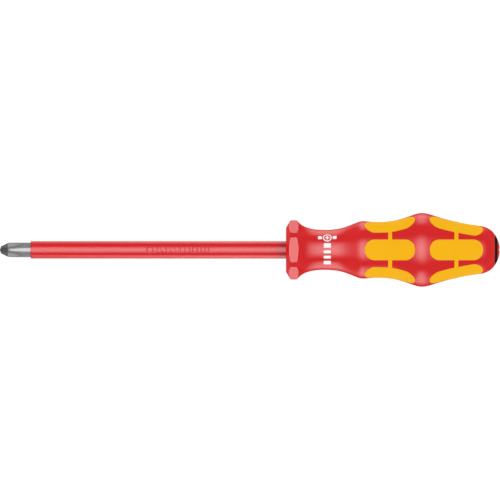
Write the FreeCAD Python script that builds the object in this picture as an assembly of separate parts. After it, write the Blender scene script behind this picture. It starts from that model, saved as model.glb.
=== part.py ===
import FreeCAD, Part

# Insulated cross-tip screwdriver, in millimetres.
# The origin is the point of the blade. +X runs along the tool's axis towards the handle's end.
# +Z is up, through the middle of one flat of the handle's collar. The tool lies along X.

import math
import os

from FreeCAD import Vector

# Overall
BLADE_OUT = 150.0        # from the blade's point to the handle's front face
HANDLE_LENGTH = 112.0
LOBES = 6                # flats on the collar, and pads in each grip

# Blade
BLADE_R = 3.8
BLADE_IN_HANDLE = 84.0
POINT_CONE_LENGTH = 0.7  # blunt 140 degree point between the tip's wings
POINT_CONE_R = 1.9
TIP_TAPER_END = 4.7      # where the tip's taper reaches the full rod
TIP_BLEND = 0.35         # the rod's softened edge at the end of that taper
BLADE_END_CHAMFER = 0.8

# Flutes of the cross tip, ground by a wheel
FLUTE_COUNT = 4
FLUTE_START_R = 0.9      # from the axis to the flute's floor at the point
FLUTE_SLOPE = math.radians(5.75)
FLUTE_STRAIGHT = 5.1     # length of the even slope, before the wheel's run-out
WHEEL_R = 17.0
FLUTE_HALF_ANGLE = math.radians(45.0)
FLUTE_FLOOR_HALF_WIDTH = 0.12
FLUTE_DEPTH = 6.0

# Forged wings on the blade's tail, which lock it in the handle's core
WING_START = 58.0
WING_LENGTH = 12.5
WING_REACH = 5.1
WING_THICKNESS = 2.4
WING_RAMP = 2.5

# Insulation sleeve
SLEEVE_START = 16.2      # length of bare blade
SLEEVE_R = 4.57
SLEEVE_EDGE_R = 0.45
SLEEVE_IN_HANDLE = 24.0
SLEEVE_ROOT_R = 4.37     # the stretch bonded into the handle is stepped down
SLEEVE_MOUTH_R = 4.65    # chamfered mouth of the handle's bore, just clear of the sleeve

# Handle outline, measured from its front face: collar
COLLAR_FACE_R = 11.55
COLLAR_R = 15.55
COLLAR_FRONT = 2.31      # where the front cone reaches the rim
COLLAR_BACK = 5.6        # where the back slope leaves the rim
COLLAR_FRONT_ROUND = 1.2
COLLAR_BACK_ROUND = 1.0
COLLAR_APOTHEM = 14.12   # from the axis to each flat
COLLAR_ZONE = 11.0       # longer than the collar's flats

# Handle outline behind the collar: (distance from the front face, radius)
BACK_SLOPE_END = (6.5, 14.65)
NECK_R = 10.46
HANDLE_OUTLINE = (
    BACK_SLOPE_END,
    (9.0, 12.65),
    (13.0, 11.15),
    (20.4, NECK_R),
    (28.5, 11.28),
    (35.5, 13.7),
    (39.8, 15.05),       # shoulder
    (43.8, 14.8),
    (49.0, 14.6),        # valley of the front grip
    (56.5, 15.25),
    (65.0, 17.8),
    (71.0, 19.35),       # bulge
    (77.5, 17.98),
    (87.0, 15.22),
    (93.5, 13.84),
    (98.5, 12.96),
    (102.8, 12.4),
    (106.8, 10.75),
    (109.3, 8.2),        # rim round the end cap
)
DOME_CENTRE = 98.15
DOME_R = HANDLE_LENGTH - DOME_CENTRE

# Six-sided softness of the handle's section: share of the radius lost in the middle of a flat
COLLAR_FLAT_SHARE = 0.036  # where the collar's flats run out
FLAT_SHARE = 0.012         # from the neck on
FLAT_FADE_IN = (5.0, 6.5)
FLAT_EASE = (6.5, 15.0)    # from the first share to the second
FLAT_FADE_OUT = (101.0, 107.0)
RING_POLES = 48          # poles round a section

# Core
SHELL_WALL = 3.2
CORE_START = 4.0
CORE_FRONT_END = 14.0    # end of the core's straight front
CORE_END = 102.8

# Grips: (start, end, ring start, ring end) of each
GRIPS = {
    "front_grip": (41.3, 67.5, 53.45, 55.5),
    "rear_grip": (75.2, 103.1, 88.15, 90.2),
}
PAD_WIDTH = 10.85
PAD_CORNER_R = 5.1
PAD_DEPTH = 1.5
PAD_PROUD = 0.12
PAD_TOOL_BOTTOM = 8.0    # the cutting tool's reach, from the axis
PAD_TOOL_TOP = 24.0

# End cap and marker disc
CAP_R = 8.0
CAP_SEAT = 107.2
CAP_STEM_R = 4.4
CAP_STEM_START = 95.0
DISC_R = 5.6
DISC_SEAT = 109.6
CROSS_FLOOR = 111.3
CROSS_ARM = 2.9
CROSS_WIDTH = 1.3

AXIS_X = Vector(1, 0, 0)
ORIGIN = Vector(0, 0, 0)
CUT_MARGIN = 1.0         # how far a cutting tool stands out of what it cuts
OUTSIDE_R = 30.0         # clear of every part of the handle


def at(x, r):
    """A point of an outline, in the plane of the axis and +Z."""
    return Vector(x, 0, r)


def turned(points):
    """The solid that a closed outline makes when it turns about the tool's axis."""
    corners = [at(x, r) for x, r in points]
    wire = Part.makePolygon(corners + corners[:1])
    return Part.Face(wire).revolve(ORIGIN, AXIS_X, 360)


def rod(start, end, radius):
    """A round bar along the tool's axis."""
    return Part.makeCylinder(radius, end - start, at(start, 0), AXIS_X)


def spun(shape, count, first=0.0):
    """Copies of a shape, evenly spaced round the tool's axis."""
    copies = []
    for i in range(count):
        copy = shape.copy()
        copy.rotate(ORIGIN, AXIS_X, first + 360.0 * i / count)
        copies.append(copy)
    return copies


# ---- blade ----

def flute_cutter():
    """The grinding wheel's path for one flute, with its floor below +Z."""
    floor = at(0, FLUTE_START_R)
    along = Vector(math.cos(FLUTE_SLOPE), 0, math.sin(FLUTE_SLOPE))
    out = Vector(-math.sin(FLUTE_SLOPE), 0, math.cos(FLUTE_SLOPE))
    side = Vector(0, 1, 0)
    bend = floor + along * FLUTE_STRAIGHT
    half_top = FLUTE_FLOOR_HALF_WIDTH + FLUTE_DEPTH * math.tan(FLUTE_HALF_ANGLE)
    corners = [
        bend - side * FLUTE_FLOOR_HALF_WIDTH,
        bend + side * FLUTE_FLOOR_HALF_WIDTH,
        bend + side * half_top + out * FLUTE_DEPTH,
        bend - side * half_top + out * FLUTE_DEPTH,
    ]
    section = Part.Face(Part.makePolygon(corners + corners[:1]))
    straight = section.extrude(along * -(FLUTE_STRAIGHT + CUT_MARGIN))
    run_out = section.revolve(bend + out * WHEEL_R, side * -1, 45)
    return straight.fuse(run_out)


def tail_wing():
    """One forged wing plate across the blade's tail."""
    start = BLADE_OUT + WING_START
    end = start + WING_LENGTH
    root = BLADE_R - 0.3
    upper = [
        at(start, root),
        at(start + WING_RAMP, WING_REACH),
        at(end - WING_RAMP, WING_REACH),
        at(end, root),
    ]
    lower = [at(p.x, -p.z) for p in reversed(upper)]
    plate = Part.Face(Part.makePolygon(upper + lower + upper[:1]))
    plate.translate(Vector(0, -WING_THICKNESS / 2, 0))
    return plate.extrude(Vector(0, WING_THICKNESS, 0))


def make_blade():
    end = BLADE_OUT + BLADE_IN_HANDLE
    taper = (BLADE_R - POINT_CONE_R) / (TIP_TAPER_END - POINT_CONE_LENGTH)
    steel = turned([
        (0, 0),
        (POINT_CONE_LENGTH, POINT_CONE_R),
        (TIP_TAPER_END - TIP_BLEND, BLADE_R - TIP_BLEND * taper),
        (TIP_TAPER_END + TIP_BLEND, BLADE_R),
        (end - BLADE_END_CHAMFER, BLADE_R),
        (end, BLADE_R - BLADE_END_CHAMFER),
        (end, 0),
    ])
    steel = steel.fuse(spun(tail_wing(), FLUTE_COUNT, 45.0)[:2])
    return steel.cut(spun(flute_cutter(), FLUTE_COUNT, 45.0))


# ---- insulation sleeve ----

def make_blade_insulation():
    end = BLADE_OUT + SLEEVE_IN_HANDLE
    sleeve = rod(SLEEVE_START, BLADE_OUT, SLEEVE_R)
    rim = [e for e in sleeve.Edges if e.Closed and abs(e.CenterOfMass.x - SLEEVE_START) < 0.01]
    sleeve = sleeve.makeFillet(SLEEVE_EDGE_R, rim)
    sleeve = sleeve.fuse(rod(BLADE_OUT, end, SLEEVE_ROOT_R))
    return sleeve.cut(rod(SLEEVE_START - CUT_MARGIN, end + CUT_MARGIN, BLADE_R))


# ---- handle ----

def fade(value, start, end):
    """0 before start, 1 after end, and smooth between."""
    t = min(1.0, max(0.0, (value - start) / (end - start)))
    return t * t * (3 - 2 * t)


def flat_share(x):
    """How far the section is from round, at a distance from the handle's front face."""
    share = COLLAR_FLAT_SHARE + (FLAT_SHARE - COLLAR_FLAT_SHARE) * fade(x, *FLAT_EASE)
    return share * fade(x, *FLAT_FADE_IN) * (1 - fade(x, *FLAT_FADE_OUT))


def lobed_face(curve):
    """The face that an outline curve makes round the axis, with soft flats where flat_share asks."""
    step = 2 * math.pi / RING_POLES
    outward = 3 / (2 + math.cos(step))  # a uniform cubic ring lies inside its poles by this ratio
    spline = curve.toBSpline()
    rows = []
    for i in range(RING_POLES):
        angle = i * step
        row = []
        for pole in spline.getPoles():
            lost = flat_share(pole.x) * (1 + math.cos(LOBES * angle)) / 2
            r = pole.z * (1 - lost) * outward
            row.append(Vector(pole.x, r * math.sin(angle), r * math.cos(angle)))
        rows.append(row)
    surface = Part.BSplineSurface()
    surface.buildFromPolesMultsKnots(
        rows,
        [1] * (RING_POLES + 1),
        spline.getMultiplicities(),
        list(range(RING_POLES + 1)),
        spline.getKnots(),
        True,
        False,
        3,
        spline.Degree,
        [spline.getWeights()] * RING_POLES,
    )
    return surface.toShape()


def lobed_solid(curves):
    """A closed solid round the axis from outline curves that join end to end, in handle coordinates."""
    faces = [lobed_face(curve) for curve in curves]
    ends = (curves[0].StartPoint.x, curves[-1].EndPoint.x)
    caps = []
    for face, x in ((faces[0], ends[0]), (faces[-1], ends[1])):
        rim = [e for e in face.Edges if e.BoundBox.XMax - x < 1e-4 and x - e.BoundBox.XMin < 1e-4]
        caps.append(Part.Face(Part.Wire(rim)))
    shell = Part.makeShell(faces + caps)
    shell.sewShape()
    solid = Part.Solid(shell)
    if solid.Volume < 0:
        solid.reverse()
    return solid


def through(points):
    """A smooth curve through outline points."""
    curve = Part.BSplineCurve()
    curve.interpolate([at(x, r) for x, r in points])
    return curve


def rounded_corner(before, corner, after, radius):
    """The arc that rounds an outline's corner."""
    back = (before - corner).normalize()
    ahead = (after - corner).normalize()
    half = back.getAngle(ahead) / 2
    reach = radius / math.tan(half)
    middle = (back + ahead).normalize()
    centre = corner + middle * (radius / math.sin(half))
    return Part.Arc(corner + back * reach, centre - middle * radius, corner + ahead * reach)


def handle_body():
    """The handle's outside, as one solid from its front face to the seat of the end cap."""
    face_edge = at(0, COLLAR_FACE_R)
    front = at(COLLAR_FRONT, COLLAR_R)
    back = at(COLLAR_BACK, COLLAR_R)
    slope = at(*BACK_SLOPE_END)
    front_arc = rounded_corner(face_edge, front, back, COLLAR_FRONT_ROUND)
    back_arc = rounded_corner(front, back, slope, COLLAR_BACK_ROUND)
    return lobed_solid([
        Part.LineSegment(face_edge, front_arc.StartPoint),
        front_arc,
        Part.LineSegment(front_arc.EndPoint, back_arc.StartPoint),
        back_arc,
        Part.LineSegment(back_arc.EndPoint, slope),
        through(HANDLE_OUTLINE),
    ])


def offset_body(offset):
    """The handle's outside behind the collar, grown or shrunk by an offset."""
    return lobed_solid([through([(x, r + offset) for x, r in HANDLE_OUTLINE])])


def collar_corners():
    """What is cut from the round collar to leave its flats."""
    corner = Vector(-CUT_MARGIN, -OUTSIDE_R, COLLAR_APOTHEM)
    block = Part.makeBox(COLLAR_ZONE + CUT_MARGIN, 2 * OUTSIDE_R, OUTSIDE_R, corner)
    return spun(block, LOBES)


def pad_tool(start, end):
    """A rounded rectangle, seen from above, that stands through the handle's upper skin."""
    corner = Vector(start, -PAD_WIDTH / 2, PAD_TOOL_BOTTOM)
    block = Part.makeBox(end - start, PAD_WIDTH, PAD_TOOL_TOP - PAD_TOOL_BOTTOM, corner)
    uprights = [e for e in block.Edges if abs(e.tangentAt(e.FirstParameter).z) > 0.99]
    return block.makeFillet(PAD_CORNER_R, uprights)


def grip_tool(start, end, ring_start, ring_end):
    """The space of one grip's pads and ring, before the handle's skin limits it."""
    ring = rod(ring_start, ring_end, PAD_TOOL_TOP)
    return ring.fuse(spun(pad_tool(start, end), LOBES))


def make_grip(name):
    tool = grip_tool(*GRIPS[name])
    return tool.common(offset_body(PAD_PROUD)).cut(offset_body(-PAD_DEPTH))


def core_body():
    """The core's outside: straight in the collar, then an even wall below the handle's skin."""
    front = at(CORE_START, NECK_R - SHELL_WALL)
    bend = at(CORE_FRONT_END, NECK_R - SHELL_WALL)
    rest = [(x, r - SHELL_WALL) for x, r in HANDLE_OUTLINE if CORE_FRONT_END < x <= CORE_END]
    return lobed_solid([
        Part.LineSegment(front, bend),
        through([(bend.x, bend.z)] + rest),
    ])


def placed(shape):
    """A shape moved from handle coordinates to its place on the tool."""
    shape.translate(Vector(BLADE_OUT, 0, 0))
    return shape


def bore_mouth():
    """The chamfer where the sleeve enters the handle."""
    depth = SLEEVE_MOUTH_R - SLEEVE_ROOT_R
    return Part.makeCone(SLEEVE_MOUTH_R, SLEEVE_ROOT_R, depth, at(0, 0), AXIS_X)


def make_handle_shell():
    shell = handle_body().cut(collar_corners())
    inside = offset_body(-PAD_DEPTH)
    for sizes in GRIPS.values():
        shell = shell.cut(grip_tool(*sizes).cut(inside))
    shell = shell.cut(core_body())
    shell = shell.cut(rod(-CUT_MARGIN, CORE_START + CUT_MARGIN, SLEEVE_ROOT_R))
    shell = shell.cut(bore_mouth())
    shell = shell.cut(rod(CORE_END - CUT_MARGIN, CAP_SEAT + CUT_MARGIN, CAP_STEM_R))
    return placed(shell.cut(rod(CAP_SEAT, HANDLE_LENGTH, CAP_R)))


def make_handle_core():
    core = core_body().cut(rod(CAP_STEM_START, HANDLE_LENGTH, CAP_STEM_R))
    core = core.cut(rod(0, SLEEVE_IN_HANDLE, SLEEVE_ROOT_R))
    return placed(core).cut(make_blade())


def dome_point(r):
    """The point of the domed end's outline at a radius."""
    return at(DOME_CENTRE + math.sqrt(DOME_R ** 2 - r ** 2), r)


def domed(corners, outer_r, inner_r):
    """A turned solid whose outline runs through corners and closes along the domed end."""
    edges = [Part.makeLine(a, b) for a, b in zip(corners, corners[1:])]
    dome = Part.Arc(dome_point(outer_r), dome_point((outer_r + inner_r) / 2), dome_point(inner_r))
    edges.append(dome.toShape())
    return Part.Face(Part.Wire(edges)).revolve(ORIGIN, AXIS_X, 360)


def make_end_cap():
    return placed(domed([
        dome_point(DISC_R),
        at(DISC_SEAT, DISC_R),
        at(DISC_SEAT, 0),
        at(CAP_STEM_START, 0),
        at(CAP_STEM_START, CAP_STEM_R),
        at(CAP_SEAT, CAP_STEM_R),
        at(CAP_SEAT, CAP_R),
        dome_point(CAP_R),
    ], CAP_R, DISC_R))


def make_marker_disc():
    disc = domed([dome_point(0), at(DISC_SEAT, 0), at(DISC_SEAT, DISC_R), dome_point(DISC_R)], DISC_R, 0)
    for width, height in ((CROSS_WIDTH, 2 * CROSS_ARM), (2 * CROSS_ARM, CROSS_WIDTH)):
        corner = Vector(CROSS_FLOOR, -width / 2, -height / 2)
        disc = disc.cut(Part.makeBox(CUT_MARGIN, width, height, corner))
    return placed(disc)


NODES = {
    "blade": make_blade,
    "blade_insulation": make_blade_insulation,
    "handle_core": make_handle_core,
    "handle_shell": make_handle_shell,
    "front_grip": lambda: placed(make_grip("front_grip")),
    "rear_grip": lambda: placed(make_grip("rear_grip")),
    "end_cap": make_end_cap,
    "marker_disc": make_marker_disc,
}


def main():
    os.makedirs("parts", exist_ok=True)
    for name, make in NODES.items():
        shape = make()
        solids = shape.Solids
        shape = solids[0] if len(solids) == 1 else Part.makeCompound(solids)
        shape.exportStep(os.path.join("parts", name + ".step"))
        print(name, len(solids), "solid,", round(shape.Volume), "mm3, valid:", shape.isValid())


main()
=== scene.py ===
import math

import bpy
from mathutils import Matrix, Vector
from mathutils.bvhtree import BVHTree
from mathutils.geometry import delaunay_2d_cdt


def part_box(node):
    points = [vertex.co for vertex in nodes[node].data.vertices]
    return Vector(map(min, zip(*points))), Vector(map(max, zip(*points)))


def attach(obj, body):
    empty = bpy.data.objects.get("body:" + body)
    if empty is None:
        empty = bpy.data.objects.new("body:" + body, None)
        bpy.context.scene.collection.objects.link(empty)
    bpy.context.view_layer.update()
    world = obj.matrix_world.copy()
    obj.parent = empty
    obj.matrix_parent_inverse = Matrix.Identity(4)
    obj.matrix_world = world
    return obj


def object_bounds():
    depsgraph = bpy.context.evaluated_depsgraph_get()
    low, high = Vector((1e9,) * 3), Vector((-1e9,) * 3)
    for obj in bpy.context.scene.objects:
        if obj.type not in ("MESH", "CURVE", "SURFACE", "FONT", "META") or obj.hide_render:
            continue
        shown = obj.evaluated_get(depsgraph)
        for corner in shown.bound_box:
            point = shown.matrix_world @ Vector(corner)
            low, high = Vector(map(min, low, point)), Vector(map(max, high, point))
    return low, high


# An insulated cross-tip screwdriver, lying along X on a luminous white table. Metres.
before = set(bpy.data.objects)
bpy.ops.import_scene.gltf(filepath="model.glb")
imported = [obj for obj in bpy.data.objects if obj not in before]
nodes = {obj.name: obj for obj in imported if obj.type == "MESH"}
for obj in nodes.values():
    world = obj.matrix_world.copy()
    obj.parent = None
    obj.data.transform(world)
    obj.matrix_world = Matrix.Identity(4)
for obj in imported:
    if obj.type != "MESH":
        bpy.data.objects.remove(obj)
cad_low, cad_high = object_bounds()

MM = 0.001
BODY = "root"
TOOL_LENGTH = cad_high.x
SHELL_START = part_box("handle_shell")[0].x
BLADE_R = 3.8 * MM
OUTSIDE_R = 40 * MM          # clear of the whole tool

# Colours, linear
DEEP_RED = (0.63, 0.0035, 0.006)
YELLOW = (0.86, 0.435, 0.006)
BLACK = (0.0035, 0.0065, 0.005)
STEEL = (0.19, 0.19, 0.195)
GROUND_STEEL = (0.3, 0.3, 0.305)
PHOSPHATE = (0.05, 0.05, 0.051)
WHITE_INK = (0.88, 0.88, 0.875)
PURE_WHITE = (1.0, 1.0, 1.0)
SHEEN_TINT = (1.0, 0.06, 0.05)
SHEEN_ROUGHNESS = 0.4
GLOSS_TINT = (0.75, 1.0, 1.0)

NOISE_SPREAD = (0.3, 0.7)    # most of a noise lies between these

# Finishes along the blade, from the point: where each turns into the next, and where the painted
# shadow on the sleeve starts
DIP_END = (4.2 * MM, 4.4 * MM)
DIP_WANDER = (-0.12 * MM, 0.12 * MM)
BRIGHT_START = (5.1 * MM, 5.6 * MM)
BAND_GROWTH = (5.0 * MM, 13.0 * MM)     # where the bright band along a wing widens
BAND_REACH = (0.2 * MM, 0.95 * MM)      # and its half width there
BAND_FADE = (0.0, 0.25 * MM)
# where the painted shadow of the collar on the sleeve starts
SLEEVE_SHADE_START = SHELL_START - 7 * MM

# Finishes across the blade, by radius; and painted shade in the flutes, by radius towards their rims
# and by distance from their floors
ROD_SKIN = (BLADE_R - 0.12 * MM, BLADE_R - 0.04 * MM)
FLUTE_RIM_SHADE = (BLADE_R - 0.8 * MM, BLADE_R - 0.2 * MM)
FLUTE_FLOOR_SHADE = (0.2 * MM, 1.0 * MM)

# Thin pieces laid on the CAD
CORNER_STEPS = 8
CIRCLE_STEPS = 32
SKIN_DIP = 0.01 * MM         # how far a rounded edge ends below the skin it lies on
MERGE = 1e-7                 # outline points closer than this are one

# Print on the neck. Its place is x, a radius to lay it out on, and a turn for each of its two parts.
PRINT_X = SHELL_START + 21.6 * MM
PRINT_R = 10.5 * MM
SYMBOL_TURN = math.radians(37.5)
BLOCKS_TURN = math.radians(-14.5)
SYMBOL_RING = (2.35 * MM, 0.6 * MM)              # radius, stroke
SYMBOL_CROSS = (1.15 * MM, 0.7 * MM)             # reach, stroke
SYMBOL_BAR = (2.1 * MM, 2.0 * MM, 0.4 * MM)      # length, width, corner
SYMBOL_BAR_AWAY = 3.85 * MM
BLOCK_LENGTH = 3.8 * MM
BLOCK_WIDTHS = (2.5 * MM, 1.6 * MM, 1.6 * MM, 2.5 * MM)
BLOCK_GAP = 1.3 * MM
BLOCK_CORNER = 0.45 * MM
BLOCKS_EDGE = 6.25 * MM      # where the column of blocks starts, round the neck from its turn
INK_HEIGHT = 0.03 * MM
INK_SINK = 0.05 * MM
INK_STEP = 0.45 * MM

# Moulded marks on the sleeve, in millimetres: kind, first middle, pitch, count, and sizes, which are
# a ring's radius and stroke, or a bar's length, width and corner
MARKS = (
    ("ring", 2.0, 0.0, 1, (1.9, 0.6)),
    ("bar", 5.8, 2.35, 6, (1.0, 3.1, 0.35)),
    ("ring", 21.6, 4.0, 2, (1.7, 0.6)),
    ("bar", 28.9, 1.9, 3, (0.8, 3.1, 0.3)),
)
MARKS_START = 76.7 * MM
MARK_HEIGHT = 0.2 * MM
MARK_EDGE = 0.28 * MM        # width over which a mark's edges are rounded
MARK_CRESTS = (0.3, 1.0)     # where the rounding has points, as shares of that width
MARK_SINK = 0.1 * MM
MARK_STEP = 0.3 * MM

# Grips: sizes of the CAD's pads and rings, and of the low crowns on them
LOBES = 6
PAD_WIDTH = 10.85 * MM
PAD_CORNER_R = 5.1 * MM
RING_WIDTH = 2.05 * MM
RING_MIDDLES = {"front_grip": 204.475 * MM, "rear_grip": 239.175 * MM}
RING_R = 15.0 * MM
CROWN_RIM = 0.1 * MM         # of the pad or ring that a crown leaves bare
CROWN_HEIGHT = 0.14 * MM
CROWN_EDGE = 0.6 * MM
CROWN_CRESTS = (0.12, 0.35, 0.65, 1.0)
CROWN_SINK = 0.1 * MM
CROWN_STEP = 0.9 * MM
STRIP_LENGTH = 7.4 * MM
STRIP_CORNER = 0.6 * MM
STRIP_HEIGHT = 0.05 * MM
STRIP_EDGE = 0.5 * MM

# Light. Radiances are relative to the white of the picture.
WHITE = 1.05                 # what the camera sees where nothing stands
FILL = 1.08                  # even light on matt surfaces, from all sides
TABLE_GLOW = 0.93
TABLE_WHITE = 0.11
TABLE_SIZE = 8.0
ROOM = 0.37                  # the studio between the soft boxes, as gloss sees it
PIT = 0.06                   # below the tool
PIT_EDGES = (-0.75, -0.2)    # heights of a direction where the room turns into the pit

# Soft boxes: radiance, then where each starts, is full, ends being full, and ends, in degrees
# round the tool (0 is up, 90 is +Y) and along it (0 is across, 90 is +X)
SOFT_BOXES = (
    (5.3, (-51, -3, 7, 55), (-54, -12, -2, 50)),
    (2.0, (85, 106, 122, 160), (-24, -5, 0, 25)),
    (2.9, (-149, -106, -90, -63), (-26, -8, 0, 25)),
)

# Scrims: how far from the tool's axis, where they stand, and x from shut to clear with the veil there
SCRIM_AWAY = 60 * MM
SCRIM_X = (-200 * MM, 119 * MM)
SCRIM_Z = (-300 * MM, 8 * MM)
SCRIM_GRADE = (5 * MM, 119 * MM, 0.7, 0.0)

# Camera: straight above and far away
LENS = 1600.0
SENSOR = 36.0
CAMERA_SHIFT = (0.16 * MM, -0.055 * MM)  # from above the middle of the tool


# ---- node helpers ----

class Graph:
    """A material's or world's node tree, with short calls for the nodes used here."""

    def __init__(self, owner):
        self.owner = owner
        owner.use_nodes = True
        self.tree = owner.node_tree
        self.tree.nodes.clear()

    def node(self, kind, **settings):
        made = self.tree.nodes.new(kind)
        for name, value in settings.items():
            setattr(made, name, value)
        return made

    def link(self, source, target):
        self.tree.links.new(source, target)

    def put(self, value, socket):
        """Links an output to a socket, or sets the socket's own value."""
        if isinstance(value, bpy.types.NodeSocket):
            self.link(value, socket)
        else:
            socket.default_value = value

    def math(self, operation, a, b=0.0):
        made = self.node("ShaderNodeMath", operation=operation)
        self.put(a, made.inputs[0])
        self.put(b, made.inputs[1])
        return made.outputs[0]

    def coordinates(self, kind):
        return self.node("ShaderNodeTexCoord").outputs[kind]

    def split(self, vector):
        made = self.node("ShaderNodeSeparateXYZ")
        self.link(vector, made.inputs[0])
        return made.outputs["X"], made.outputs["Y"], made.outputs["Z"]

    def scaled(self, vector, scale):
        made = self.node("ShaderNodeMapping")
        self.link(vector, made.inputs["Vector"])
        made.inputs["Scale"].default_value = scale
        return made.outputs[0]

    def noise(self, vector, scale, detail, roughness):
        made = self.node("ShaderNodeTexNoise")
        self.link(vector, made.inputs["Vector"])
        made.inputs["Scale"].default_value = scale
        made.inputs["Detail"].default_value = detail
        made.inputs["Roughness"].default_value = roughness
        return made.outputs["Fac"]

    def between(self, value, low, high, out_low, out_high, smooth=False):
        """Maps a value's range to another, clamped."""
        made = self.node("ShaderNodeMapRange", clamp=True)
        if smooth:
            made.interpolation_type = "SMOOTHSTEP"
        self.link(value, made.inputs["Value"])
        made.inputs["From Min"].default_value = low
        made.inputs["From Max"].default_value = high
        made.inputs["To Min"].default_value = out_low
        made.inputs["To Max"].default_value = out_high
        return made.outputs[0]

    def mixed(self, share, a, b):
        made = self.node("ShaderNodeMix", data_type="RGBA")
        self.put(share, made.inputs["Factor"])
        self.put(a, made.inputs["A"])
        self.put(b, made.inputs["B"])
        return made.outputs["Result"]

    def bump(self, height, strength, distance):
        made = self.node("ShaderNodeBump")
        self.link(height, made.inputs["Height"])
        made.inputs["Strength"].default_value = strength
        made.inputs["Distance"].default_value = distance
        return made.outputs["Normal"]

    def principled(self, **inputs):
        """A principled shader linked to the output. Spaces in input names are underscores here."""
        shader = self.node("ShaderNodeBsdfPrincipled")
        for name, value in inputs.items():
            self.put(value, shader.inputs[name.replace("_", " ")])
        out = self.node("ShaderNodeOutputMaterial")
        self.link(shader.outputs[0], out.inputs["Surface"])
        return shader


def opaque(colour, gain=1.0):
    """A colour with full alpha, brightened or darkened by a gain."""
    return (colour[0] * gain, colour[1] * gain, colour[2] * gain, 1.0)


# ---- materials ----

def moulded_plastic(name, colour, roughness, grain_size, grain_depth, specular=0.5):
    """Moulded plastic with a spark-eroded grain, faint flow clouds and uneven gloss.

    Gives the material's graph, with the shader in it."""
    g = Graph(bpy.data.materials.new(name))
    here = g.coordinates("Object")
    clouds = g.noise(here, scale=45.0, detail=4.0, roughness=0.6)
    grain = g.noise(here, scale=1.0 / grain_size, detail=2.0, roughness=0.6)
    speckle = g.noise(here, scale=0.35 / grain_size, detail=3.0, roughness=0.7)
    tint = g.between(clouds, *NOISE_SPREAD, 0.0, 1.0)
    clouded = g.mixed(tint, opaque(colour, 0.975), opaque(colour, 1.025))
    gloss = g.between(speckle, *NOISE_SPREAD, roughness - 0.015, roughness + 0.02)
    g.shader = g.principled(
        Base_Color=clouded,
        Roughness=gloss,
        IOR=1.5,
        Specular_IOR_Level=specular,
        Normal=g.bump(grain, strength=0.25, distance=grain_depth),
    )
    return g


def red_plastic(name, roughness, grain_size, grain_depth, shaded_from=None):
    """Red moulded plastic. Light that bleeds out of it along its edges is a red sheen.

    Past shaded_from, the colour darkens towards the handle's front face: a painted shadow of the
    collar on the sleeve."""
    g = moulded_plastic(name, DEEP_RED, roughness, grain_size, grain_depth)
    g.shader.inputs["Sheen Weight"].default_value = 1.0
    g.shader.inputs["Sheen Roughness"].default_value = SHEEN_ROUGHNESS
    g.shader.inputs["Sheen Tint"].default_value = opaque(SHEEN_TINT)
    g.shader.inputs["Specular Tint"].default_value = opaque(GLOSS_TINT)
    # painted shadow of the collar: the base colour darkens to 0.68 of itself towards the front face
    if shaded_from is not None:
        plain = g.shader.inputs["Base Color"].links[0].from_socket
        along = g.split(g.coordinates("Object"))[0]
        shade = g.between(along, shaded_from, SHELL_START, 0.0, 1.0, smooth=True)
        g.put(g.mixed(shade, plain, opaque(DEEP_RED, 0.68)), g.shader.inputs["Base Color"])
    return g.owner


def soft_rubber(name, colour):
    """Matt soft-touch elastomer with a fine pebble grain."""
    material = bpy.data.materials.new(name)
    g = Graph(material)
    here = g.coordinates("Object")
    pebbles = g.noise(here, scale=5200.0, detail=2.0, roughness=0.5)
    clouds = g.noise(here, scale=60.0, detail=4.0, roughness=0.6)
    tint = g.between(clouds, *NOISE_SPREAD, 0.0, 1.0)
    g.principled(
        Base_Color=g.mixed(tint, opaque(colour, 0.98), opaque(colour, 1.02)),
        Roughness=g.between(pebbles, *NOISE_SPREAD, 0.68, 0.8),
        IOR=1.45,
        Specular_IOR_Level=0.12,
        Normal=g.bump(pebbles, strength=0.4, distance=0.03 * MM),
    )
    return material


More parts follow.
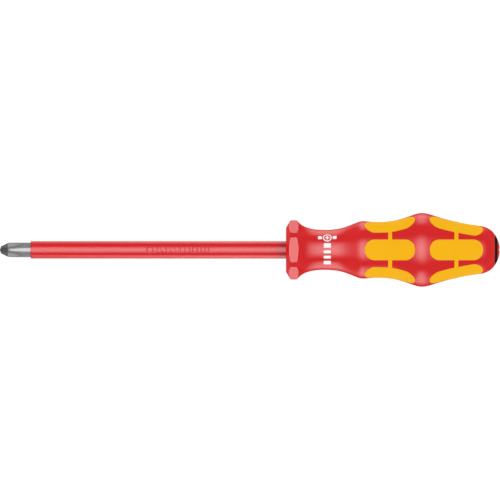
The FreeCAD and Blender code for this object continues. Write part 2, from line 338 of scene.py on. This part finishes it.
def blade_steel(name):
    """Satin chrome with fine turning lines, matt ground flutes darkened towards their rims and along
    their floors by painted shade, and a tip dipped in black phosphate.

    The chrome is brightest along the top of each wing, in a band that widens away from the point."""
    material = bpy.data.materials.new(name)
    g = Graph(material)
    here = g.coordinates("Object")
    x, y, z = g.split(here)
    r = g.math("SQRT", g.math("ADD", g.math("MULTIPLY", y, y), g.math("MULTIPLY", z, z)))
    rod = g.between(r, *ROD_SKIN, 0.0, 1.0)

    away_y = g.math("ABSOLUTE", y)
    away_z = g.math("ABSOLUTE", z)
    from_wing = g.math("MINIMUM", away_y, away_z)
    from_floor = g.math("ABSOLUTE", g.math("SUBTRACT", away_y, away_z))
    reach = g.between(x, *BAND_GROWTH, *BAND_REACH)
    band = g.between(g.math("SUBTRACT", from_wing, reach), *BAND_FADE, 1.0, 0.0)
    started = g.between(x, *BRIGHT_START, 0.0, 1.0)
    bright = g.math("MULTIPLY", g.math("MULTIPLY", rod, band), started)

    lines = g.noise(g.scaled(here, (9000.0, 300.0, 300.0)), scale=1.0, detail=3.0, roughness=0.6)
    wander = g.noise(here, scale=900.0, detail=2.0, roughness=0.5)
    edge = g.math("ADD", x, g.between(wander, 0.0, 1.0, *DIP_WANDER))
    dipped = g.between(edge, *DIP_END, 1.0, 0.0)
    mottle = g.between(g.noise(here, scale=1400.0, detail=3.0, roughness=0.7), *NOISE_SPREAD, 0.0, 1.0)
    dark = g.mixed(mottle, opaque(PHOSPHATE, 0.8), opaque(PHOSPHATE, 1.3))

    # painted shade: the ground flutes darken towards their rims and along their floors, so ground and
    # bare carry painted shade as well as the ground finish
    rim_shade = g.between(r, *FLUTE_RIM_SHADE, 0.0, 1.0)
    ground = g.mixed(rim_shade, opaque(GROUND_STEEL), opaque(GROUND_STEEL, 0.7))
    floor_shade = g.between(from_floor, *FLUTE_FLOOR_SHADE, 1.0, 0.0)
    ground = g.mixed(floor_shade, ground, opaque(GROUND_STEEL, 0.45))
    bare = g.mixed(rod, ground, opaque(STEEL))
    brushed = g.between(lines, *NOISE_SPREAD, 0.15, 0.19)
    dull = g.between(bright, 0.0, 1.0, 0.25, 0.0)
    g.principled(
        Base_Color=g.mixed(dipped, bare, dark),
        Metallic=g.between(bright, 0.0, 1.0, 0.0, 0.54),
        Roughness=g.math("ADD", brushed, dull),
        Specular_IOR_Level=0.3,
        Normal=g.bump(lines, strength=0.15, distance=0.01 * MM),
    )
    return material


def printed_ink(name, colour):
    """Screen-printed ink: thin, matt, with a slightly uneven cover."""
    material = bpy.data.materials.new(name)
    g = Graph(material)
    here = g.coordinates("Object")
    cover = g.noise(here, scale=2600.0, detail=3.0, roughness=0.6)
    tint = g.between(cover, *NOISE_SPREAD, 0.0, 1.0)
    g.principled(
        Base_Color=g.mixed(tint, opaque(colour, 0.96), opaque(colour, 1.03)),
        Roughness=g.between(cover, *NOISE_SPREAD, 0.45, 0.6),
        IOR=1.45,
        Specular_IOR_Level=0.3,
        Normal=g.bump(cover, strength=0.2, distance=0.01 * MM),
    )
    return material


def luminous_white(name):
    """The table: translucent white, lit from below. Its back lets the camera see through."""
    material = bpy.data.materials.new(name)
    g = Graph(material)
    surface = g.node("ShaderNodeBsdfPrincipled")
    surface.inputs["Base Color"].default_value = opaque(PURE_WHITE, TABLE_WHITE)
    surface.inputs["Roughness"].default_value = 0.9
    surface.inputs["Specular IOR Level"].default_value = 0.0
    surface.inputs["Emission Color"].default_value = opaque(PURE_WHITE)
    surface.inputs["Emission Strength"].default_value = TABLE_GLOW
    clear = g.node("ShaderNodeBsdfTransparent")
    side = g.node("ShaderNodeNewGeometry")
    mix = g.node("ShaderNodeMixShader")
    g.link(side.outputs["Backfacing"], mix.inputs[0])
    g.link(surface.outputs[0], mix.inputs[1])
    g.link(clear.outputs[0], mix.inputs[2])
    out = g.node("ShaderNodeOutputMaterial")
    g.link(mix.outputs[0], out.inputs["Surface"])
    return material


def give(node, material):
    """A CAD node takes a material in all its slots."""
    for slot in nodes[node].material_slots:
        slot.material = material


# ---- outlines and the thin pieces laid on the tool ----

def bar(u, v, length, width, corner, inset=0.0):
    """A rounded rectangle round (u, v), shrunk by an inset: length along the tool, width round it."""
    reach_u = length / 2 - corner
    reach_v = width / 2 - corner
    points = []
    for side_u, side_v, first in ((1, 1, 0), (-1, 1, 90), (-1, -1, 180), (1, -1, 270)):
        for i in range(CORNER_STEPS + 1):
            angle = math.radians(first + 90.0 * i / CORNER_STEPS)
            points.append((
                u + side_u * reach_u + (corner - inset) * math.cos(angle),
                v + side_v * reach_v + (corner - inset) * math.sin(angle),
            ))
    return [points]


def circle(u, v, radius):
    """A circle round (u, v)."""
    turns = [i * 2 * math.pi / CIRCLE_STEPS for i in range(CIRCLE_STEPS)]
    return [(u + radius * math.cos(a), v + radius * math.sin(a)) for a in turns]


def ring(u, v, radius, stroke, inset=0.0):
    """Two circles, shrunk towards the middle of the stroke between them by an inset."""
    return [circle(u, v, radius - inset), circle(u, v, radius - stroke + inset)]


def cross(u, v, reach, stroke):
    """An upright cross, as one outline."""
    h = stroke / 2
    corner = ((reach, h), (h, h), (h, reach), (-h, reach), (-h, h), (-reach, h))
    return [[(u + a, v + b) for a, b in corner] + [(u - a, v - b) for a, b in corner]]


def dense(loop, step):
    """A closed outline with extra points, so that it follows a curved surface."""
    points = []
    for a, b in zip(loop, loop[1:] + loop[:1]):
        count = max(1, math.ceil(math.dist(a, b) / step))
        for i in range(count):
            points.append((a[0] + (b[0] - a[0]) * i / count, a[1] + (b[1] - a[1]) * i / count))
    return points


def inside(point, loops):
    """Whether a point lies in the outlines, holes left out."""
    u, v = point
    odd = False
    for loop in loops:
        for a, b in zip(loop, loop[1:] + loop[:1]):
            if (a[1] > v) != (b[1] > v) and u < a[0] + (b[0] - a[0]) * (v - a[1]) / (b[1] - a[1]):
                odd = not odd
    return odd


def filled(loops, crests, step):
    """Triangles that fill outlines, holes left open, with inner points every step.

    Crests are further lines that the triangles follow, the innermost last."""
    points = []
    edges = []
    for loop in loops + [line for crest in crests for line in crest]:
        first = len(points)
        added = dense(loop, step)
        points += added
        edges += [(first + i, first + (i + 1) % len(added)) for i in range(len(added))]
    within = crests[-1] if crests else loops
    low = [min(p[k] for p in points) for k in (0, 1)]
    high = [max(p[k] for p in points) for k in (0, 1)]
    for i in range(1, int((high[0] - low[0]) / step) + 1):
        for j in range(1, int((high[1] - low[1]) / step) + 1):
            point = (low[0] + i * step, low[1] + j * step)
            if inside(point, within):
                points.append(point)
    within_outlines = 1
    found = delaunay_2d_cdt([Vector(p) for p in points], edges, [], within_outlines, MERGE)
    flat = [tuple(p) for p in found[0]]
    triangles = []
    for corners in found[2]:
        middle = [sum(flat[i][k] for i in corners) / 3 for k in (0, 1)]
        if inside(middle, loops):
            triangles.append(tuple(corners))
    return flat, triangles


def to_outline(point, loops):
    """The distance from a point to the nearest outline."""
    best = OUTSIDE_R
    for loop in loops:
        for a, b in zip(loop, loop[1:] + loop[:1]):
            along = (b[0] - a[0], b[1] - a[1])
            t = (point[0] - a[0]) * along[0] + (point[1] - a[1]) * along[1]
            t = min(1.0, max(0.0, t / (along[0] ** 2 + along[1] ** 2)))
            best = min(best, math.dist(point, (a[0] + along[0] * t, a[1] + along[1] * t)))
    return best


def round_axis(x, turn, radius):
    """Lays (u, v) along the tool from x and round it from a turn, at a radius."""
    def place(u, v):
        a = turn + v / radius
        return Vector((x + u, 0, 0)), Vector((0, math.sin(a), math.cos(a)))
    return place


def square_on(x, turn):
    """Lays (u, v) along the tool from x and across it, seen straight on at a turn."""
    out = Vector((0, math.sin(turn), math.cos(turn)))
    across = Vector((0, math.cos(turn), -math.sin(turn)))
    return lambda u, v: (Vector((x + u, 0, 0)) + across * v, out)


def wrapped(name, shapes, target, height, edge_width, sink, step):
    """A closed thin mesh of flat shapes laid on a CAD node.

    Each shape is its outlines, its crests and its place. Edges are rounded over edge_width, or cut
    square where it is 0. The mesh reaches down into the node by sink."""
    mesh = nodes[target].data
    skin = BVHTree.FromPolygons([v.co for v in mesh.vertices], [p.vertices for p in mesh.polygons])
    vertices = []
    faces = []
    walls = []
    for loops, crests, place in shapes:
        flat, triangles = filled(loops, crests, step)
        used = sorted({i for t in triangles for i in t})
        order = {old: new for new, old in enumerate(used)}
        triangles = [tuple(order[i] for i in t) for t in triangles]
        top = len(vertices)
        bottom = top + len(used)
        under = []
        for i in used:
            start, out = place(*flat[i])
            hit = skin.ray_cast(start + out * OUTSIDE_R, -out)[0]
            lift = height
            if edge_width:
                short = 1.0 - min(1.0, to_outline(flat[i], loops) / edge_width)
                lift = height * math.sqrt(1.0 - short * short) - SKIN_DIP
            vertices.append(hit + out * lift)
            under.append(hit - out * sink)
        vertices += under
        sides = set()
        for a, b, c in triangles:
            faces.append((top + a, top + b, top + c))
            faces.append((bottom + a, bottom + c, bottom + b))
            sides.update(((a, b), (b, c), (c, a)))
        walls += [(top + b, top + a, bottom + a, bottom + b) for a, b in sides if (b, a) not in sides]
    data = bpy.data.meshes.new(name)
    data.from_pydata(vertices, [], faces + sorted(walls))
    for polygon in data.polygons:
        polygon.use_smooth = polygon.index < len(faces)
    made = bpy.data.objects.new(name, data)
    bpy.context.scene.collection.objects.link(made)
    return made


def finished(piece, material):
    """Gives a piece its material, and sets it on the tool's body."""
    piece.data.materials.append(material)
    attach(piece, BODY)


def make_neck_print():
    """A generic print: a ringed cross between two short bars, and a column of plain blocks."""
    symbol = [
        ring(0, 0, *SYMBOL_RING),
        cross(0, 0, *SYMBOL_CROSS),
        bar(-SYMBOL_BAR_AWAY, 0, *SYMBOL_BAR),
        bar(SYMBOL_BAR_AWAY, 0, *SYMBOL_BAR),
    ]
    blocks = []
    edge = BLOCKS_EDGE
    for width in BLOCK_WIDTHS:
        blocks.append(bar(0, edge - width / 2, BLOCK_LENGTH, width, BLOCK_CORNER))
        edge -= width + BLOCK_GAP
    ink = printed_ink("neck_print_white_ink", WHITE_INK)
    for name, outlines, turn in (
        ("neck_print_symbol", symbol, SYMBOL_TURN),
        ("neck_print_blocks", blocks, BLOCKS_TURN),
    ):
        place = round_axis(PRINT_X, turn, PRINT_R)
        shapes = [(loops, [], place) for loops in outlines]
        piece = wrapped(name, shapes, "handle_shell", INK_HEIGHT, 0.0, INK_SINK, INK_STEP)
        finished(piece, ink)


def make_sleeve_marks(material):
    """Plain moulded marks along the sleeve, with rounded edges: rings and upright bars."""
    makers = {"ring": ring, "bar": bar}
    place = round_axis(MARKS_START, 0.0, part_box("blade_insulation")[1].z)
    shapes = []
    for kind, first, pitch, count, sizes in MARKS:
        make = makers[kind]
        for i in range(count):
            mark = ((first + pitch * i) * MM, 0, *(size * MM for size in sizes))
            crests = [make(*mark, inset=MARK_EDGE * share) for share in MARK_CRESTS]
            shapes.append((make(*mark), crests, place))
    piece = wrapped(
        "sleeve_marks", shapes, "blade_insulation", MARK_HEIGHT, MARK_EDGE, MARK_SINK, MARK_STEP
    )
    finished(piece, material)


def make_crown(node, material, ring_middle):
    """Low crowns on a grip's six pads, and on its ring in strips between them, with rounded edges."""
    low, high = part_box(node)
    middle = (low.x + high.x) / 2
    pad = (0, 0, high.x - low.x - 2 * CROWN_RIM, PAD_WIDTH - 2 * CROWN_RIM, PAD_CORNER_R - CROWN_RIM)
    pad_crests = [bar(*pad, inset=CROWN_EDGE * share) for share in CROWN_CRESTS]
    strip = (0, 0, RING_WIDTH - 2 * CROWN_RIM, STRIP_LENGTH, STRIP_CORNER)
    strip_crests = [bar(*strip, inset=STRIP_EDGE * share) for share in CROWN_CRESTS]
    pads = []
    strips = []
    for i in range(LOBES):
        turn = 2 * math.pi * i / LOBES
        pads.append((bar(*pad), pad_crests, square_on(middle, turn)))
        between_pads = round_axis(ring_middle, turn + math.pi / LOBES, RING_R)
        strips.append((bar(*strip), strip_crests, between_pads))
    for kind, shapes, height, edge in (
        ("pads", pads, CROWN_HEIGHT, CROWN_EDGE),
        ("ring", strips, STRIP_HEIGHT, STRIP_EDGE),
    ):
        piece = wrapped(node + "_crown_" + kind, shapes, node, height, edge, CROWN_SINK, CROWN_STEP)
        finished(piece, material)


# ---- stage, light and camera ----

def make_table():
    """The white table. It is lit from below, and gloss doesn't see it."""
    bpy.ops.mesh.primitive_plane_add(size=TABLE_SIZE, location=(TOOL_LENGTH / 2, 0, cad_low.z))
    table = bpy.context.object
    table.name = "table"
    table.data.materials.append(luminous_white("table_white"))
    table.visible_glossy = False


def make_scrims():
    """Graded scrims beside the blade, which dim the low soft boxes towards the tip for gloss only."""
    material = bpy.data.materials.new("scrim_graded")
    g = Graph(material)
    along = g.split(g.coordinates("Object"))[0]
    clear = g.node("ShaderNodeBsdfTransparent")
    veil = g.node("ShaderNodeEmission")
    veil.inputs["Strength"].default_value = ROOM
    mix = g.node("ShaderNodeMixShader")
    g.link(g.between(along, *SCRIM_GRADE), mix.inputs[0])
    g.link(clear.outputs[0], mix.inputs[1])
    g.link(veil.outputs[0], mix.inputs[2])
    out = g.node("ShaderNodeOutputMaterial")
    g.link(mix.outputs[0], out.inputs["Surface"])
    front, back = SCRIM_X
    bottom, top = SCRIM_Z
    for y, name in ((SCRIM_AWAY, "scrim_left"), (-SCRIM_AWAY, "scrim_right")):
        corners = [(front, y, bottom), (back, y, bottom), (back, y, top), (front, y, top)]
        data = bpy.data.meshes.new(name)
        data.from_pydata(corners, [], [(0, 1, 2, 3)])
        data.materials.append(material)
        scrim = bpy.data.objects.new(name, data)
        bpy.context.scene.collection.objects.link(scrim)
        scrim.visible_camera = False
        scrim.visible_diffuse = False
        scrim.visible_transmission = False
        scrim.visible_shadow = False


def window(g, value, start, full, full_end, end):
    """1 from full to full_end, 0 before start and after end, and soft between."""
    rise = g.between(value, start, full, 0.0, 1.0, smooth=True)
    fall = g.between(value, full_end, end, 1.0, 0.0, smooth=True)
    return g.math("MULTIPLY", rise, fall)


def make_world():
    """A white tent for matt surfaces, and soft boxes in a dim room for glossy ones."""
    world = bpy.data.worlds.new("studio")
    bpy.context.scene.world = world
    world.cycles.sampling_method = "NONE"
    g = Graph(world)
    x, y, z = g.split(g.coordinates("Generated"))
    across = g.math("DEGREES", g.math("ARCTAN2", y, z))
    along = g.math("DEGREES", g.math("ARCSINE", x))
    gloss = g.between(z, *PIT_EDGES, PIT, ROOM, smooth=True)
    for radiance, around, lengthwise in SOFT_BOXES:
        shape = g.math("MULTIPLY", window(g, across, *around), window(g, along, *lengthwise))
        gloss = g.math("ADD", gloss, g.math("MULTIPLY", shape, radiance))
    path = g.node("ShaderNodeLightPath")
    camera = path.outputs["Is Camera Ray"]
    matt = path.outputs["Is Diffuse Ray"]
    neither = g.math("SUBTRACT", g.math("SUBTRACT", 1.0, camera), matt)
    strength = g.math("MULTIPLY", gloss, neither)
    strength = g.math("ADD", strength, g.math("MULTIPLY", camera, WHITE))
    strength = g.math("ADD", strength, g.math("MULTIPLY", matt, FILL))
    light = g.node("ShaderNodeBackground")
    light.inputs["Color"].default_value = opaque(PURE_WHITE)
    g.link(strength, light.inputs["Strength"])
    out = g.node("ShaderNodeOutputWorld")
    g.link(light.outputs[0], out.inputs["Surface"])


def make_camera():
    """Straight above, framed on the tool's length."""
    data = bpy.data.cameras.new("camera")
    data.lens = LENS
    data.sensor_width = SENSOR
    camera = bpy.data.objects.new("camera", data)
    shift_x, shift_y = CAMERA_SHIFT
    camera.location = (TOOL_LENGTH / 2 + shift_x, shift_y, TOOL_LENGTH * LENS / SENSOR)
    bpy.context.scene.collection.objects.link(camera)
    bpy.context.scene.camera = camera
    bpy.context.scene.view_settings.view_transform = "Standard"


# ---- the tool ----

# the sleeve's colour carries a painted shadow of the collar near the handle
sleeve_red = red_plastic(
    "insulation_red_moulded", roughness=0.13, grain_size=0.4 * MM, grain_depth=0.003 * MM,
    shaded_from=SLEEVE_SHADE_START,
)
shell_red = red_plastic(
    "shell_red_moulded", roughness=0.14, grain_size=0.3 * MM, grain_depth=0.008 * MM
)
disc_red = red_plastic(
    "disc_red_moulded", roughness=0.15, grain_size=0.3 * MM, grain_depth=0.01 * MM
)
cap_black = moulded_plastic(
    "cap_black_moulded", BLACK, roughness=0.4, grain_size=0.25 * MM, grain_depth=0.01 * MM,
    specular=0.14,
)
core_black = moulded_plastic(
    "core_black_moulded", BLACK, roughness=0.5, grain_size=0.3 * MM, grain_depth=0.02 * MM,
    specular=0.3,
)
give("handle_shell", shell_red)
give("blade_insulation", sleeve_red)
give("marker_disc", disc_red)
give("end_cap", cap_black.owner)
give("handle_core", core_black.owner)
rubber = soft_rubber("grip_yellow_rubber", YELLOW)
for grip, ring_middle in RING_MIDDLES.items():
    give(grip, rubber)
    make_crown(grip, rubber, ring_middle)
give("blade", blade_steel("blade_steel_satin"))
make_neck_print()
make_sleeve_marks(sleeve_red)

make_table()
make_scrims()
make_world()
make_camera()
